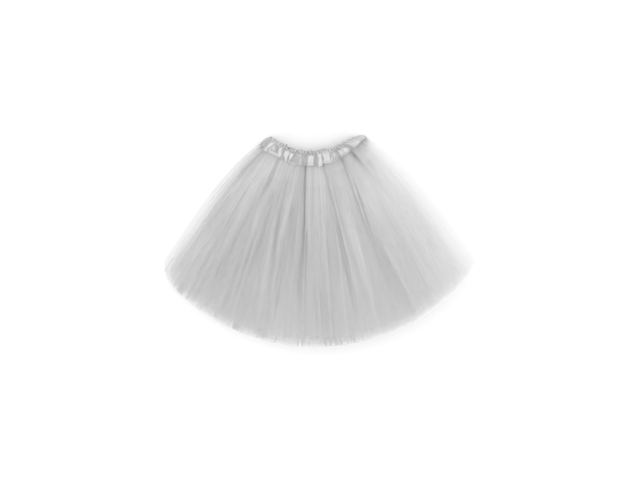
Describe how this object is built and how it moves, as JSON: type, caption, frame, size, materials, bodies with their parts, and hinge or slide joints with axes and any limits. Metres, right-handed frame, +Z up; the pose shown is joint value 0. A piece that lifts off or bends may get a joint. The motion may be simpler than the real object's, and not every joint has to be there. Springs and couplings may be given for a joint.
{
  "type": "ballet tutu",
  "caption": "Pull-on ballet tutu of soft gathered tulle on an elastic satin waistband with a ruffled heading, laid flat front up, hollow from waist to hem.",
  "frame": {"origin": "middle of the garment's footprint, on the floor it lies on", "axes": "+X across the garment, along its widest stretch between the two hem corners; +Y from the hem up to the waist; +Z up from the floor, out of the front"},
  "size_m": [0.6398, 0.4335, 0.0368],
  "materials": {
    "tulle": "soft light grey nylon tulle, sheer and matt, darker where its layers and folds lie on each other",
    "satin": "light grey polyester satin, gathered over elastic, with a soft silky sheen on each pucker"
  },
  "bodies": {
    "root": {"tulle_outer_back": "tulle", "tulle_outer_front": "tulle", "tulle_middle_back": "tulle", "tulle_middle_front": "tulle", "tulle_inner_back": "tulle", "tulle_inner_front": "tulle", "waistband_back": "satin", "waistband_front": "satin"}
  },
  "joints": []
}
